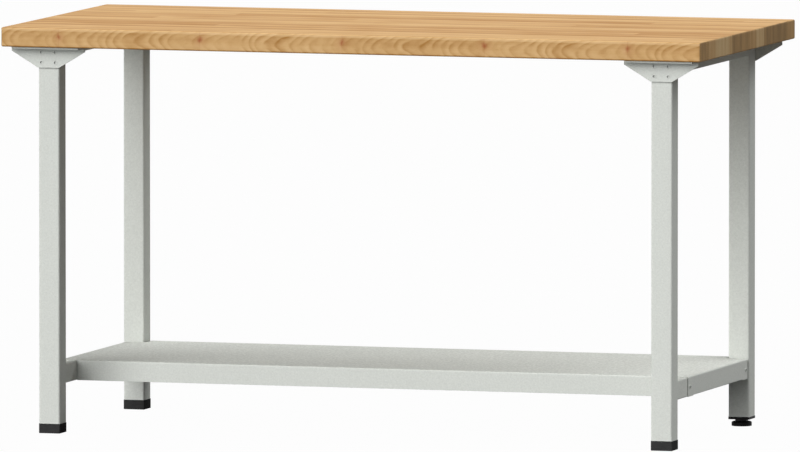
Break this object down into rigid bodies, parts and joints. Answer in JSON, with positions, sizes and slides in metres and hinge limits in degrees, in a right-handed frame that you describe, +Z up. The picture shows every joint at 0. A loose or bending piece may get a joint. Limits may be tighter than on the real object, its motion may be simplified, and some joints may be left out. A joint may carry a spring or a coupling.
{
  "type": "work table",
  "caption": "Work table with a thick beech worktop on a square-tube steel leg frame, gusset plates at the leg heads, a low folded steel shelf and a levelling foot at a rear corner.",
  "frame": {"origin": "on the floor under the middle of the worktop", "axes": "+X along the table towards its right end, +Y away from the user, +Z up"},
  "size_m": [1.5, 0.7, 0.84],
  "materials": {
    "beech": "oiled, glued staves",
    "grey_powder_coat": "fine-textured powder coat",
    "black_plastic": "matt",
    "zinc_plated_steel": "zinc plated",
    "blackened_steel": "blackened"
  },
  "bodies": {
    "frame": {"worktop": "beech", "leg_front_left": "grey_powder_coat", "leg_front_right": "grey_powder_coat", "leg_rear_left": "grey_powder_coat", "leg_rear_right": "grey_powder_coat", "gusset_front_left": "grey_powder_coat", "gusset_front_right": "grey_powder_coat", "gusset_rear_left": "grey_powder_coat", "gusset_rear_right": "grey_powder_coat", "top_rail_left": "grey_powder_coat", "top_rail_right": "grey_powder_coat", "bottom_rail_left": "grey_powder_coat", "bottom_rail_right": "grey_powder_coat", "shelf_panel": "grey_powder_coat", "shelf_stiffener": "grey_powder_coat", "gusset_screws": "grey_powder_coat", "shelf_screws": "grey_powder_coat", "foot_cap_front_left": "black_plastic", "foot_cap_front_right": "black_plastic", "foot_cap_rear_left": "black_plastic", "levelling_insert": "black_plastic", "worktop_screws": "zinc_plated_steel", "levelling_nut": "zinc_plated_steel"},
    "levelling_pad": {"levelling_pad": "black_plastic"},
    "levelling_spindle": {"levelling_spindle": "blackened_steel"}
  },
  "joints": [
    {"name": "levelling_slide", "type": "slide", "parent": "frame", "child": "levelling_pad", "axis": [0, 0, -1], "range_m": [-0.004, 0.012]},
    {"name": "levelling_turn", "type": "hinge", "parent": "levelling_pad", "child": "levelling_spindle", "pos_m": [0.6575, 0.2745, 0.0095], "axis": [0, 0, -1], "range_deg": [-960.5, 2880.5]}
  ],
  "couplings": [
    {"joint": "levelling_turn", "follows": "levelling_slide", "rad_per_m": 4188.8}
  ]
}
